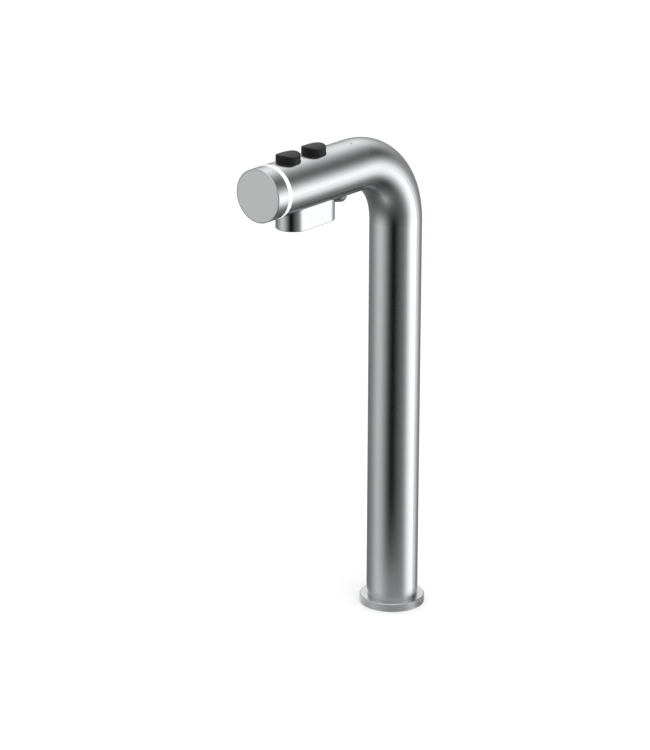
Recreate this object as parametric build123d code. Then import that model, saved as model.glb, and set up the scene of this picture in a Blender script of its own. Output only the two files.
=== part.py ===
from build123d import *
import math
import os

# Frame: +Z up, the origin is the centre of the flange's underside, on the column's axis.
# The arm runs along -Y. All sizes are in millimetres.

# How far a cut runs past the solid that it opens
past = 1.0

# Tube
tube_d = 40.0
tube_wall = 1.5
bend_r = 53.5
arm_axis_z = 365.0
arm_tail = 27.2

# Clearances
slip = 0.1
thread_gap = 0.05
running_gap = 0.3
guide_gap = 0.3
stop_gap = 0.1

# Base flange, the adapter inside the foot of the tube, and the seal
flange_rim = 5.25
flange_h = 6.4
flange_bevel = 0.5
adapter_foot_h = 1.6
adapter_foot_w = 1.6
adapter_h = 22.0
adapter_seat_h = 8.0
seal_w = 1.6
seal_h = 1.4
seal_land = 1.0
grub_d = 4.0
grub_z = 3.8

# Fixings under the worktop
shank_d = 32.0
shank_wall = 2.5
shank_drop = 62.0
worktop_t = 30.0
washer_d = 50.0
washer_gap = 0.4
rubber_washer_t = 3.0
steel_washer_t = 2.0
nut_af = 44.0
nut_h = 9.0

# Water tubes and cable inside the column
hose_d = 6.35
hose_bore_d = 4.3
hose_x = 6.5
hose_front = 7.0
socket_depth = 10.0
cable_d = 5.0
cable_back = 4.6
spacer_t = 3.0
spacer_count = 2
collet_t = 2.0
collet_wall = 1.6
tube_seal_w = 0.65
tube_seal_h = 1.4
tube_seal_inset = 3.0

# Inlet block at the foot of the shank
inlet_block_h = 20.0
inlet_spigot_h = 8.0
supply_socket_d = 10.0
supply_socket_h = 16.0
supply_socket_wall = 1.4
supply_pin_d = 1.0
supply_pin_h = 4.0
supply_pin_pitch_d = 4.0

# End of the arm, measured back from the front face
cap_len = 10.9
cap_chamfer = 0.35
disc_rim = 0.7
disc_t = 1.8
disc_chamfer = 0.3
sleeve_wall = 3.5
sleeve_shoulder_t = 1.5
sleeve_shoulder_w = 3.0
ring_len = 4.2
carrier_wall = 2.0
carrier_back_t = 3.0
light_board_t = 1.4
lamp_count = 12
lamp_w = 2.8
lamp_depth = 1.6
lamp_t = 1.2
lead_w = 6.0
lead_t = 0.35
lead_len = 12.0

# Buttons
button_r = 9.1
button_rise = 4.9
button_edge = 0.6
button_travel = 1.5
button_gap = 10.8
first_button_gap = 9.8
lip_w = 1.2
lip_t = 1.4
stem_d = 4.0

# Switch board and the frame over it
frame_wall = 1.8
frame_gap = 0.2
frame_floor = 11.0
frame_side_gap = 1.8
board_t = 1.6
board_edge = 1.5
switch_w = 7.0
switch_h = 4.0
plunger_d = 3.2
plunger_h = 3.5
spring_d = 11.6
spring_wire_d = 0.6
spring_turns = 4.5
plug_len = 10.0
plug_w = 10.0
plug_h = 6.0
plug_gap = 2.5
board_tail = 3.0
boss_w = 6.0
boss_len = 5.8
carrier_screw_d = 2.5
carrier_screw_reach = 10.0
carrier_screw_angle = 30.0
board_screw_d = 2.2
board_screw_len = 7.5
board_screw_x = 14.8
screw_head_t = 1.5
screw_head_ratio = 1.7
key_ratio = 0.6
key_depth = 1.4

# Nozzle under the arm
nozzle_w = 25.4
nozzle_len = 53.7
nozzle_drop = 12.2
nozzle_gap = 11.5
nozzle_wall = 1.8
nozzle_edge = 0.6
plate_recess = 0.8
plate_t = 2.0
ledge_w = 1.2
ledge_t = 1.5
spigot_d = 14.0
spigot_wall = 1.0
spigot_depth = 8.4
outlet_wall = 1.3
outlet_face_t = 1.5
outlet_hole_d = 1.2
outlet_hole_pitch = 1.9
outlet_rings = 2
outlet_seal_w = 0.8
outlet_seal_h = 1.2
block_top = 1.0
block_w = 24.0
block_nose = 1.2
block_tail = 16.4
channel_d = 4.0
nozzle_screw_d = 4.0
nozzle_screw_len = 16.0
nozzle_boss_d = 8.0

# Clamp screw behind the nozzle
clamp_gap = 10.9
clamp_screw_d = 5.0
clamp_screw_len = 8.7
clamp_head_af = 11.4
clamp_head_t = 2.1
clamp_face_d = 9.6
clamp_face_slope = 0.9
saddle_t = 1.0
saddle_d = 13.0
tongue_w = 16.0
tongue_t = 6.0
tongue_end = 5.0

# Vent in the top of the arm
vent_d = 1.2
vent_x = 5.8
vent_s = 99.6

# Worked out from the sizes above
tube_r = tube_d / 2
bore_r = tube_r - tube_wall
shank_r = shank_d / 2
shank_bore_r = shank_r - shank_wall
hose_r = hose_d / 2
socket_r = hose_r + thread_gap
cable_r = cable_d / 2
foot_r = tube_r + adapter_foot_w
flange_r = tube_r + flange_rim
ring_back = cap_len + ring_len
sleeve_r = tube_r - sleeve_wall
neck_r = sleeve_r - slip
first_button_s = ring_back + first_button_gap + button_r
button_pitch = 2 * button_r + button_gap
button_stations = {"front": first_button_s, "rear": first_button_s + button_pitch}
frame_front = ring_back + carrier_back_t + frame_gap
frame_back = button_stations["rear"] + button_r + lip_w + running_gap + frame_wall
carrier_front = disc_t + sleeve_shoulder_t + frame_gap
carrier_back = frame_front - frame_gap
light_board_back = carrier_back - carrier_back_t
light_board_r = neck_r - carrier_wall - slip
pocket_half_w = button_r + lip_w + frame_side_gap
plug_front = frame_back + plug_gap
plug_back = plug_front + plug_len
board_back = plug_back + board_tail
board_half_w = bore_r - board_edge
lip_top = frame_floor - stop_gap
boss_top = lip_top - lip_t - button_travel - running_gap
switch_top = board_t + switch_h
plunger_top = switch_top + button_travel + stop_gap
shank_foot = -shank_drop
inlet_top = shank_foot + inlet_spigot_h
inlet_foot = shank_foot - inlet_block_h
nozzle_front = ring_back + nozzle_gap
nozzle_back = nozzle_front + nozzle_len
arm_reach = nozzle_back + arm_tail + bend_r
nozzle_foot = tube_r + nozzle_drop
plate_foot = nozzle_foot - plate_recess
plate_top = plate_foot - plate_t
outlet_stations = {"front": nozzle_front + nozzle_w / 2, "rear": nozzle_back - nozzle_w / 2}
nozzle_screw_s = (nozzle_front + nozzle_back) / 2
spigot_r = spigot_d / 2
outlet_r = spigot_r - spigot_wall - slip
block_front = outlet_stations["front"] - spigot_r - block_nose
block_back = outlet_stations["rear"] + block_tail
clamp_s = nozzle_back + clamp_gap
tongue_top = bore_r - frame_gap - tongue_t

MID = (Align.CENTER, Align.CENTER, Align.CENTER)
UP = (Align.CENTER, Align.CENTER, Align.MIN)


def arm_y(s):
    """Place along Y of a station s, counted back from the arm's front face."""
    return s - arm_reach


def post(r, z0, z1, x=0.0, y=0.0):
    """Upright cylinder from z0 to z1."""
    return Pos(x, y, z0) * Cylinder(r, z1 - z0, align=UP)


def ring(r_out, r_in, z0, z1, x=0.0, y=0.0):
    """Upright ring from z0 to z1."""
    return post(r_out, z0, z1, x, y) - post(r_in, z0 - past, z1 + past, x, y)


def rod(r, s0, s1, x=0.0, v=0.0):
    """Cylinder along the arm from station s0 to s1, at height v over the arm's axis."""
    return Pos(x, arm_y(s0), arm_axis_z + v) * Rot(-90, 0, 0) * Cylinder(r, s1 - s0, align=UP)


def sleeve(r_out, r_in, s0, s1, x=0.0, v=0.0):
    """Ring along the arm from station s0 to s1."""
    return rod(r_out, s0, s1, x, v) - rod(r_in, s0 - past, s1 + past, x, v)


def arm_post(r, s, v0, v1, x=0.0):
    """Upright cylinder at station s, from height v0 to v1 over the arm's axis."""
    return post(r, arm_axis_z + v0, arm_axis_z + v1, x, arm_y(s))


def arm_box(x0, x1, s0, s1, v0, v1):
    """Box between stations s0 and s1 and heights v0 and v1 over the arm's axis."""
    place = Pos((x0 + x1) / 2, arm_y((s0 + s1) / 2), arm_axis_z + (v0 + v1) / 2)
    return place * Box(x1 - x0, s1 - s0, v1 - v0, align=MID)


def bent_path(offset):
    """Path of the column, bend and arm at a distance offset in front of the tube's own path."""
    radius = bend_r - offset
    corner = Vector(0, -bend_r, arm_axis_z - bend_r)

    def path(x, z0, s1):
        foot = Vector(x, -offset, z0)
        rise = Vector(x, -offset, corner.Z)
        turn = Vector(x, corner.Y + radius * math.sqrt(0.5), corner.Z + radius * math.sqrt(0.5))
        level = Vector(x, corner.Y, corner.Z + radius)
        end = Vector(x, arm_y(s1), corner.Z + radius)
        bend = ThreePointArc(rise, turn, level)
        return Wire([Line(foot, rise).edge(), bend.edge(), Line(level, end).edge()])

    return path


def bent_rod(r, x, offset, z0, s1):
    """Round rod along the column, bend and arm, from height z0 to station s1."""
    start = Plane(origin=(x, -offset, z0), z_dir=(0, 0, 1))
    return sweep(start * Circle(r), path=bent_path(offset)(x, z0, s1))


def button_post(s, v0, v1, grow=0.0):
    """Upright cylinder of a button's outline at station s, grown outward by grow."""
    return arm_post(button_r + grow, s, v0, v1)


def stadium(half_w, s0, s1, v0, v1):
    """Upright prism with rounded ends, from station s0 to s1."""
    ends = Pos(0, s0 + half_w) * Circle(half_w) + Pos(0, s1 - half_w) * Circle(half_w)
    middle = Pos(0, (s0 + s1) / 2) * Rectangle(2 * half_w, s1 - s0 - 2 * half_w)
    place = Pos(0, -arm_reach, arm_axis_z + v0)
    return place * extrude(ends + middle, v1 - v0)


def hexagon(af, z0, z1, x=0.0, y=0.0):
    """Upright hexagonal prism, af across its flats."""
    place = Pos(x, y, z0)
    return place * extrude(RegularPolygon(af / math.sqrt(3), 6), z1 - z0)


def hose_places():
    """Plan positions of the two water tubes in the column."""
    return [(-hose_x, -hose_front), (hose_x, -hose_front)]


def make_tube_body():
    outer = bent_rod(tube_r, 0, 0, adapter_foot_h, ring_back)
    inner = bent_rod(bore_r, 0, 0, adapter_foot_h, ring_back)
    body = outer - inner
    for s in button_stations.values():
        body -= button_post(s, frame_floor, tube_r + past, running_gap)
    for s in outlet_stations.values():
        body -= arm_post(spigot_r + running_gap, s, -tube_r - past, -tongue_top)
    body -= arm_post(nozzle_boss_d / 2 + running_gap, nozzle_screw_s, -tube_r - past, -tongue_top)
    body -= arm_post(clamp_screw_d / 2 + running_gap, clamp_s, -tube_r - past, -tongue_top)
    body -= arm_post(vent_d / 2, vent_s, frame_floor, tube_r + past, vent_x)
    return body


def make_base_flange():
    body = post(flange_r, 0, flange_h)
    body = chamfer(body.edges().group_by(Axis.Z)[-1], flange_bevel)
    body -= post(tube_r + slip, adapter_foot_h, flange_h + past)
    body -= post(foot_r + slip, -past, adapter_foot_h)
    groove_in = foot_r + seal_land
    body -= ring(groove_in + seal_w, groove_in, -past, seal_h)
    hole = Pos(0, 0, grub_z) * Rot(-90, 0, 0) * Cylinder(grub_d / 2 + thread_gap, 2 * flange_r, align=UP)
    return body - hole


def make_base_adapter():
    body = post(foot_r, 0, adapter_foot_h) + post(bore_r - slip, 0, adapter_h)
    seat = adapter_h - adapter_seat_h
    body -= post(shank_r + thread_gap, -past, seat)
    return body - post(shank_bore_r, seat - past, adapter_h + past)


def make_base_seal():
    groove_in = foot_r + seal_land
    return ring(groove_in + seal_w - thread_gap, groove_in + thread_gap, 0, seal_h)


def make_flange_grub_screw():
    start = tube_r + thread_gap
    end = flange_r - flange_bevel
    body = Pos(0, start, grub_z) * Rot(-90, 0, 0) * Cylinder(grub_d / 2, end - start, align=UP)
    key = extrude(RegularPolygon(grub_d * key_ratio / 2, 6), key_depth + past)
    return body - Pos(0, end - key_depth, grub_z) * Rot(-90, 0, 0) * key


def make_threaded_shank():
    return ring(shank_r, shank_bore_r, shank_foot, adapter_h - adapter_seat_h - slip)


def make_washer(z_top, thickness):
    return ring(washer_d / 2, shank_r + washer_gap, z_top - thickness, z_top)


def make_lock_nut():
    z_top = -worktop_t - rubber_washer_t - steel_washer_t
    body = hexagon(nut_af, z_top - nut_h, z_top)
    round_off = post(nut_af / 2 + (nut_af / math.sqrt(3) - nut_af / 2) / 2, z_top - nut_h, z_top)
    body = body & round_off
    return body - post(shank_r + thread_gap, z_top - nut_h - past, z_top + past)


def make_inlet_block():
    body = post(shank_r, inlet_foot, shank_foot) + post(shank_bore_r - slip, shank_foot - past, inlet_top)
    for x, y in hose_places():
        body -= post(socket_r, inlet_top - socket_depth, inlet_top + past, x, y)
        body -= post(hose_bore_d / 2, inlet_foot, inlet_top, x, y)
        body -= post(socket_r, inlet_foot - past, inlet_foot + socket_depth, x, y)
        z0 = inlet_top - tube_seal_inset - tube_seal_h
        body -= post(socket_r + tube_seal_w, z0, z0 + tube_seal_h, x, y)
    body -= post(cable_r + slip, inlet_foot, inlet_top + past, 0, cable_back)
    return body - post(supply_socket_d / 2 + slip, inlet_foot - past, supply_top(), 0, cable_back)


def supply_top():
    """Top of the supply socket, inside the inlet block."""
    return inlet_foot - collet_t + supply_socket_h


def make_inlet_collets():
    r_in = hose_r + guide_gap
    foot = inlet_foot - collet_t
    rings = [ring(r_in + collet_wall, r_in, foot, inlet_foot, x, y) for x, y in hose_places()]
    return Compound(children=rings)


def make_supply_socket():
    foot = inlet_foot - collet_t
    body = post(supply_socket_d / 2, foot, supply_top(), 0, cable_back)
    depth = supply_pin_h + supply_socket_wall
    return body - post(supply_socket_d / 2 - supply_socket_wall, foot - past, foot + depth, 0, cable_back)


def make_supply_pins():
    top = inlet_foot - collet_t + supply_pin_h + supply_socket_wall
    reach = supply_pin_pitch_d / 2
    pins = []
    for i in range(4):
        a = math.radians(45 + 90 * i)
        x = reach * math.cos(a)
        y = cable_back + reach * math.sin(a)
        pins.append(post(supply_pin_d / 2, top - supply_pin_h, top, x, y))
    return Compound(children=pins)


def make_water_tube(x):
    foot = inlet_top - socket_depth
    end = block_back - socket_depth
    outer = bent_rod(hose_r, x, hose_front, foot, end)
    return outer - bent_rod(hose_bore_d / 2, x, hose_front, foot, end)


def make_control_cable():
    return bent_rod(cable_r, 0, -cable_back, supply_top(), plug_back)


def make_hose_spacers():
    low = adapter_h
    high = arm_axis_z - bend_r
    discs = []
    for i in range(spacer_count):
        z = low + (high - low) * (i + 1) / (spacer_count + 1)
        disc = post(bore_r - running_gap, z, z + spacer_t)
        for x, y in hose_places():
            disc -= post(hose_r + guide_gap, z - past, z + spacer_t + past, x, y)
        disc -= post(cable_r + guide_gap, z - past, z + spacer_t + past, 0, cable_back)
        discs.append(disc)
    return Compound(children=discs)


def make_cap_sleeve():
    body = rod(tube_r, 0, cap_len)
    front_edge = body.edges().group_by(Axis.Y)[0]
    body = chamfer(front_edge, cap_chamfer)
    body -= rod(tube_r - disc_rim + thread_gap, -past, disc_t)
    body -= rod(sleeve_r - sleeve_shoulder_w, disc_t - past, cap_len)
    return body - rod(sleeve_r, disc_t + sleeve_shoulder_t, cap_len + past)


def make_face_disc():
    body = rod(tube_r - disc_rim, 0, disc_t)
    return chamfer(body.edges().group_by(Axis.Y)[0], disc_chamfer)


def make_light_ring():
    return sleeve(tube_r, sleeve_r, cap_len, ring_back)


def carrier_screw_places():
    """Offsets (x, v) of the two screws that hold the ring carrier to the button frame."""
    a = math.radians(carrier_screw_angle)
    x = carrier_screw_reach * math.cos(a)
    v = carrier_screw_reach * math.sin(a)
    return [(-x, v), (x, v)]


def make_ring_carrier():
    body = rod(neck_r, carrier_front, ring_back) + rod(bore_r - slip, ring_back, carrier_back)
    body -= rod(light_board_r + slip, carrier_front - past, light_board_back)
    for x, v in carrier_screw_places():
        body -= rod(carrier_screw_d / 2 + slip, light_board_back - past, carrier_back + past, x, v)
    half = lead_w / 2 + slip
    return body - arm_box(-half, half, light_board_back - past, carrier_back + past, -lead_t - slip, slip)


def make_light_board():
    front = light_board_back - light_board_t
    body = rod(light_board_r, front, light_board_back)
    for x, v in carrier_screw_places():
        body -= rod(carrier_screw_d / 2 + slip, front - past, light_board_back + past, x, v)
    return body


def make_ring_lamps():
    front = light_board_back - light_board_t - lamp_t
    mid = light_board_r - lamp_depth
    lamps = []
    for i in range(lamp_count):
        angle = 360 / lamp_count * (i + 0.5)
        lamp = Box(lamp_depth, lamp_t, lamp_w, align=(Align.CENTER, Align.MIN, Align.CENTER))
        lamps.append(Pos(0, arm_y(front), arm_axis_z) * Rot(0, angle, 0) * Pos(mid, 0, 0) * lamp)
    return Compound(children=lamps)


def make_board_lead():
    return arm_box(-lead_w / 2, lead_w / 2, light_board_back, light_board_back + lead_len, -lead_t, 0)


def make_carrier_screws():
    screws = []
    front = light_board_back - light_board_t
    for x, v in carrier_screw_places():
        head = rod(carrier_screw_d * screw_head_ratio / 2, front - screw_head_t, front, x, v)
        screws.append(head + rod(carrier_screw_d / 2, front - past, frame_front + boss_len - slip, x, v))
    return Compound(children=screws)


def board_screw_stations():
    """Stations of the screws between the switch board and the button frame."""
    return [button_stations["front"] - button_r / 2, button_stations["rear"] + button_r / 2]


def make_button_frame():
    body = rod(bore_r - frame_gap, frame_front, frame_back)
    body &= arm_box(-tube_r, tube_r, frame_front, frame_back, board_t, tube_r)
    s0 = frame_front + frame_wall
    s1 = frame_back - frame_wall
    body -= arm_box(-pocket_half_w, pocket_half_w, s0, s1, board_t - past, frame_floor)
    for x, v in carrier_screw_places():
        half = boss_w / 2
        body += arm_box(x - half, x + half, frame_front, frame_front + boss_len, board_t, boss_top)
    for x, v in carrier_screw_places():
        body -= rod(carrier_screw_d / 2 + thread_gap, frame_front - past, frame_front + boss_len, x, v)
    for s in button_stations.values():
        body -= button_post(s, frame_floor - past, tube_r, running_gap)
    for s in board_screw_stations():
        for x in (-board_screw_x, board_screw_x):
            body -= arm_post(board_screw_d / 2 + thread_gap, s, board_t - past, board_screw_len, x)
    return body


def make_switch_board():
    body = arm_box(-board_half_w, board_half_w, frame_front + frame_gap, board_back, 0, board_t)
    for s in board_screw_stations():
        for x in (-board_screw_x, board_screw_x):
            body -= arm_post(board_screw_d / 2 + slip, s, -past, board_t + past, x)
    return body


def make_board_screws():
    screws = []
    for s in board_screw_stations():
        for x in (-board_screw_x, board_screw_x):
            head = arm_post(board_screw_d * screw_head_ratio / 2, s, -screw_head_t, 0, x)
            screws.append(head + arm_post(board_screw_d / 2, s, -past, board_screw_len - slip, x))
    return Compound(children=screws)


def make_switch_body(s):
    half = switch_w / 2
    body = arm_box(-half, half, s - half, s + half, board_t, switch_top)
    foot = plunger_top - plunger_h - button_travel - stop_gap
    return body - arm_post(plunger_d / 2 + slip, s, foot, switch_top + past)


def make_switch_plunger(s):
    return arm_post(plunger_d / 2, s, plunger_top - plunger_h, plunger_top)


def make_button(s):
    crown_r = tube_r + button_rise
    cap = button_post(s, lip_top - lip_t, crown_r + past)
    cap &= rod(crown_r, 0, s + 3 * button_r)
    top = cap.faces().sort_by(Axis.Z)[-1]
    cap = fillet(top.edges(), button_edge)
    cap += button_post(s, lip_top - lip_t, lip_top, lip_w)
    return cap + arm_post(stem_d / 2, s, plunger_top, lip_top)


def tangent_pair(p0, t0, p1, t1):
    """Two arcs that leave p0 along t0 and reach p1 along t1."""
    v = p1 - p0
    t = t0 + t1
    k = 2 * (1 - t0.dot(t1))
    reach = (-v.dot(t) + math.sqrt(v.dot(t) ** 2 + k * v.dot(v))) / k
    a = p0 + t0 * reach
    b = p1 - t1 * reach
    mid = (a + b) * 0.5
    along = (b - a).normalized()
    return [Edge.make_tangent_arc(p0, t0, mid), Edge.make_tangent_arc(mid, along, p1)]


def make_spring(s):
    """Return spring round the switch, between the switch board and the button's lip."""
    wire_r = spring_wire_d / 2
    low = board_t + wire_r + slip
    high = lip_top - lip_t - wire_r - slip
    quarters = round(4 * spring_turns)
    coil_r = spring_d / 2
    pitch = (high - low) / spring_turns

    def at(i):
        a = i * math.pi / 2
        z = arm_axis_z + low + pitch * i / 4
        return Vector(coil_r * math.cos(a), arm_y(s) + coil_r * math.sin(a), z)

    def along(i):
        a = i * math.pi / 2
        return Vector(-coil_r * math.sin(a), coil_r * math.cos(a), pitch / (2 * math.pi)).normalized()

    edges = []
    for i in range(quarters):
        edges += tangent_pair(at(i), along(i), at(i + 1), along(i + 1))
    print("spring: least gap between turns", round(pitch - spring_wire_d, 2), "mm")
    return sweep(Plane(origin=at(0), z_dir=along(0)) * Circle(wire_r), path=Wire(edges))


def make_board_plug():
    half = plug_w / 2
    return arm_box(-half, half, plug_front, plug_back, board_t, board_t + plug_h)


def make_nozzle_housing():
    half = nozzle_w / 2
    body = stadium(half, nozzle_front, nozzle_back, -nozzle_foot, -tube_r / 2)
    body = fillet(body.faces().sort_by(Axis.Z)[0].outer_wire().edges(), nozzle_edge)
    inset = nozzle_wall
    low = -nozzle_foot - past
    body -= stadium(half - inset, nozzle_front + inset, nozzle_back - inset, low, -plate_top)
    over = -plate_top + ledge_t
    body -= stadium(half - inset, nozzle_front + inset, nozzle_back - inset, over, 0)
    inset = nozzle_wall + ledge_w
    body -= stadium(half - inset, nozzle_front + inset, nozzle_back - inset, -plate_top - past, 0)
    return body - rod(tube_r + thread_gap, 0, nozzle_back + nozzle_w)


def make_nozzle_plate():
    inset = nozzle_wall + slip
    half = nozzle_w / 2 - inset
    body = stadium(half, nozzle_front + inset, nozzle_back - inset, -plate_foot, -plate_top)
    for s in outlet_stations.values():
        body -= arm_post(outlet_r + slip, s, -plate_foot - past, -plate_top + past)
    body -= arm_post(nozzle_screw_d / 2 + slip, nozzle_screw_s, -plate_foot - past, -plate_top + past)
    return body - screw_cone(slip)


def screw_cone(grow):
    """Countersunk head of the nozzle screw, its face level with the plate."""
    head = Cone(nozzle_screw_d + grow, nozzle_screw_d / 2 + grow, plate_t, align=UP)
    return Pos(0, arm_y(nozzle_screw_s), arm_axis_z - plate_foot) * head


def make_nozzle_screw():
    end = nozzle_screw_len - plate_foot
    body = screw_cone(0) + arm_post(nozzle_screw_d / 2, nozzle_screw_s, -plate_top - past, end)
    z0 = arm_axis_z - plate_foot
    return body - hexagon(nozzle_screw_d * key_ratio, z0 - past, z0 + key_depth, 0, arm_y(nozzle_screw_s))


def socket_places():
    """Offsets (x, v) of the two water tubes where they reach the outlet block."""
    return [(-hose_x, -hose_front), (hose_x, -hose_front)]


def make_outlet_block():
    skin_r = bore_r - frame_gap
    body = arm_box(-block_w / 2, block_w / 2, block_front, block_back, -tube_r, -block_top)
    tongue_back = clamp_s + tongue_end
    body += arm_box(-tongue_w / 2, tongue_w / 2, block_back - past, tongue_back, -tube_r, -tongue_top)
    body &= rod(skin_r, block_front, tongue_back)
    for s in outlet_stations.values():
        body += arm_post(spigot_r, s, -plate_top, -tongue_top)
        body -= arm_post(spigot_r - spigot_wall, s, -plate_top - past, -plate_top + spigot_depth)
        body -= arm_post(channel_d / 2, s, -plate_top, -hose_front)
    body += arm_post(nozzle_boss_d / 2, nozzle_screw_s, -plate_top, -tongue_top)
    screw_end = nozzle_screw_len - plate_foot + past
    body -= arm_post(nozzle_screw_d / 2 + thread_gap, nozzle_screw_s, -plate_top - past, screw_end)
    body -= arm_post(clamp_screw_d / 2 + thread_gap, clamp_s, -tube_r, -tongue_top + past)
    for (x, v), s in zip(socket_places(), outlet_stations.values()):
        body -= rod(socket_r, block_back - socket_depth, block_back + past, x, v)
        body -= rod(channel_d / 2, s - channel_d / 2, block_back, x, v)
        cross = Cylinder(channel_d / 2, abs(x), align=UP)
        body -= Pos(min(x, 0), arm_y(s), arm_axis_z + v) * Rot(0, 90, 0) * cross
        groove = block_back - tube_seal_inset - tube_seal_h
        body -= rod(socket_r + tube_seal_w, groove, groove + tube_seal_h, x, v)
    return body


def make_outlet_collets():
    r_in = hose_r + guide_gap
    end = block_back + collet_t
    rings = [sleeve(r_in + collet_wall, r_in, block_back, end, x, v) for x, v in socket_places()]
    return Compound(children=rings)


def make_tube_seals():
    r_in = hose_r + thread_gap / 2
    r_out = socket_r + tube_seal_w - thread_gap / 2
    seals = []
    z0 = inlet_top - tube_seal_inset - tube_seal_h
    for x, y in hose_places():
        seals.append(ring(r_out, r_in, z0, z0 + tube_seal_h, x, y))
    s0 = block_back - tube_seal_inset - tube_seal_h
    for x, v in socket_places():
        seals.append(sleeve(r_out, r_in, s0, s0 + tube_seal_h, x, v))
    return Compound(children=seals)


def outlet_top():
    """Height of an outlet's upper end, above its foot at the plate."""
    return -plate_top + spigot_depth - frame_gap


def outlet_seal_foot():
    """Height of the seal's groove round an outlet."""
    return (outlet_top() - plate_top) / 2


def make_outlet(s):
    """Outlet insert: a cup whose floor is a plate of small holes that steadies the flow."""
    body = arm_post(outlet_r, s, -plate_foot, outlet_top())
    body -= arm_post(outlet_r - outlet_wall, s, -plate_foot + outlet_face_t, outlet_top() + past)
    z0 = outlet_seal_foot()
    z1 = z0 + outlet_seal_h
    body -= arm_post(outlet_r + past, s, z0, z1) - arm_post(outlet_r - outlet_seal_w, s, z0, z1)
    low = -plate_foot - past
    high = -plate_foot + outlet_face_t + past
    holes = [arm_post(outlet_hole_d / 2, s, low, high)]
    for n in range(1, outlet_rings + 1):
        for i in range(6 * n):
            a = math.tau * i / (6 * n)
            x = n * outlet_hole_pitch * math.cos(a)
            ds = n * outlet_hole_pitch * math.sin(a)
            holes.append(arm_post(outlet_hole_d / 2, s + ds, low, high, x))
    for hole in holes:
        body -= hole
    return body


def make_outlet_seals():
    z0 = outlet_seal_foot()
    r_in = outlet_r - outlet_seal_w
    seals = []
    for s in outlet_stations.values():
        outer = arm_post(outlet_r + slip / 2, s, z0, z0 + outlet_seal_h)
        seals.append(outer - arm_post(r_in, s, z0 - past, z0 + outlet_seal_h + past))
    return Compound(children=seals)


def make_saddle_washer():
    foot = -tube_r - saddle_t
    body = arm_post(saddle_d / 2, clamp_s, foot, -tube_r / 2)
    body -= arm_post(clamp_screw_d / 2 + slip, clamp_s, foot - past, 0)
    return body - rod(tube_r + thread_gap, clamp_s - saddle_d, clamp_s + saddle_d)


def make_clamp_screw():
    top = arm_axis_z - tube_r - saddle_t
    foot = top - clamp_head_t
    head = hexagon(clamp_head_af, foot, top, 0, arm_y(clamp_s))
    corner_r = clamp_head_af / math.sqrt(3)
    small_r = clamp_face_d / 2
    taper_h = (corner_r - small_r) * clamp_face_slope
    lens = Pos(0, arm_y(clamp_s), foot) * Cone(small_r, corner_r, taper_h, align=UP)
    lens += post(corner_r, foot + taper_h, top, 0, arm_y(clamp_s))
    head = head & lens
    return head + post(clamp_screw_d / 2, top - past, top + clamp_screw_len, 0, arm_y(clamp_s))


def main():
    os.makedirs("parts", exist_ok=True)
    shapes = {
        "tube_body": make_tube_body(),
        "base_flange": make_base_flange(),
        "base_adapter": make_base_adapter(),
        "base_seal": make_base_seal(),
        "flange_grub_screw": make_flange_grub_screw(),
        "threaded_shank": make_threaded_shank(),
        "rubber_washer": make_washer(-worktop_t, rubber_washer_t),
        "steel_washer": make_washer(-worktop_t - rubber_washer_t, steel_washer_t),
        "lock_nut": make_lock_nut(),
        "inlet_block": make_inlet_block(),
        "inlet_collets": make_inlet_collets(),
        "supply_socket": make_supply_socket(),
        "supply_pins": make_supply_pins(),
        "still_water_tube": make_water_tube(-hose_x),
        "sparkling_water_tube": make_water_tube(hose_x),
        "control_cable": make_control_cable(),
        "hose_spacers": make_hose_spacers(),
        "cap_sleeve": make_cap_sleeve(),
        "face_disc": make_face_disc(),
        "light_ring": make_light_ring(),
        "ring_carrier": make_ring_carrier(),
        "light_board": make_light_board(),
        "ring_lamps": make_ring_lamps(),
        "board_lead": make_board_lead(),
        "carrier_screws": make_carrier_screws(),
        "button_frame": make_button_frame(),
        "switch_board": make_switch_board(),
        "board_screws": make_board_screws(),
        "board_plug": make_board_plug(),
        "nozzle_housing": make_nozzle_housing(),
        "nozzle_plate": make_nozzle_plate(),
        "nozzle_screw": make_nozzle_screw(),
        "outlet_block": make_outlet_block(),
        "outlet_collets": make_outlet_collets(),
        "tube_seals": make_tube_seals(),
        "outlet_seals": make_outlet_seals(),
        "saddle_washer": make_saddle_washer(),
        "clamp_screw": make_clamp_screw(),
    }
    for name, s in button_stations.items():
        shapes[f"{name}_button"] = make_button(s)
        shapes[f"{name}_button_spring"] = make_spring(s)
        shapes[f"{name}_switch_body"] = make_switch_body(s)
        shapes[f"{name}_switch_plunger"] = make_switch_plunger(s)
    for name, s in outlet_stations.items():
        shapes[f"{name}_outlet"] = make_outlet(s)
    for name, shape in shapes.items():
        export_step(shape, f"parts/{name}.step")


main()
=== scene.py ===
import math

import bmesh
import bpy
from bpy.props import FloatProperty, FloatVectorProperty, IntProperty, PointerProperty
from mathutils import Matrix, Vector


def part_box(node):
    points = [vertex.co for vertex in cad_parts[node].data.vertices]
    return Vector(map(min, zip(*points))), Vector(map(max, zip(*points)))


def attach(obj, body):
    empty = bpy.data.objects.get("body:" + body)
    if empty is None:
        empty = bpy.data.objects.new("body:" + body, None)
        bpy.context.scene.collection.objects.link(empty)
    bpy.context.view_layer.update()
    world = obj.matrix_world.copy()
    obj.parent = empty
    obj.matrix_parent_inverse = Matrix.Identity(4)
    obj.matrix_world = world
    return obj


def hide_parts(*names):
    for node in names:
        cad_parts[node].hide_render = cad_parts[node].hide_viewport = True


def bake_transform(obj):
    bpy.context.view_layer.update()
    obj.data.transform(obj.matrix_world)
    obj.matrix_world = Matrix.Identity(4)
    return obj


bl_info = {
    "name": "Sparkling water tap",
    "version": (1, 0, 0),
    "blender": (4, 5, 0),
    "location": "3D View > Sidebar > Water tap",
    "description": "Dresses the tap's parts in brushed steel, moulded plastic, rubber and brass",
    "category": "Object",
}

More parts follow.
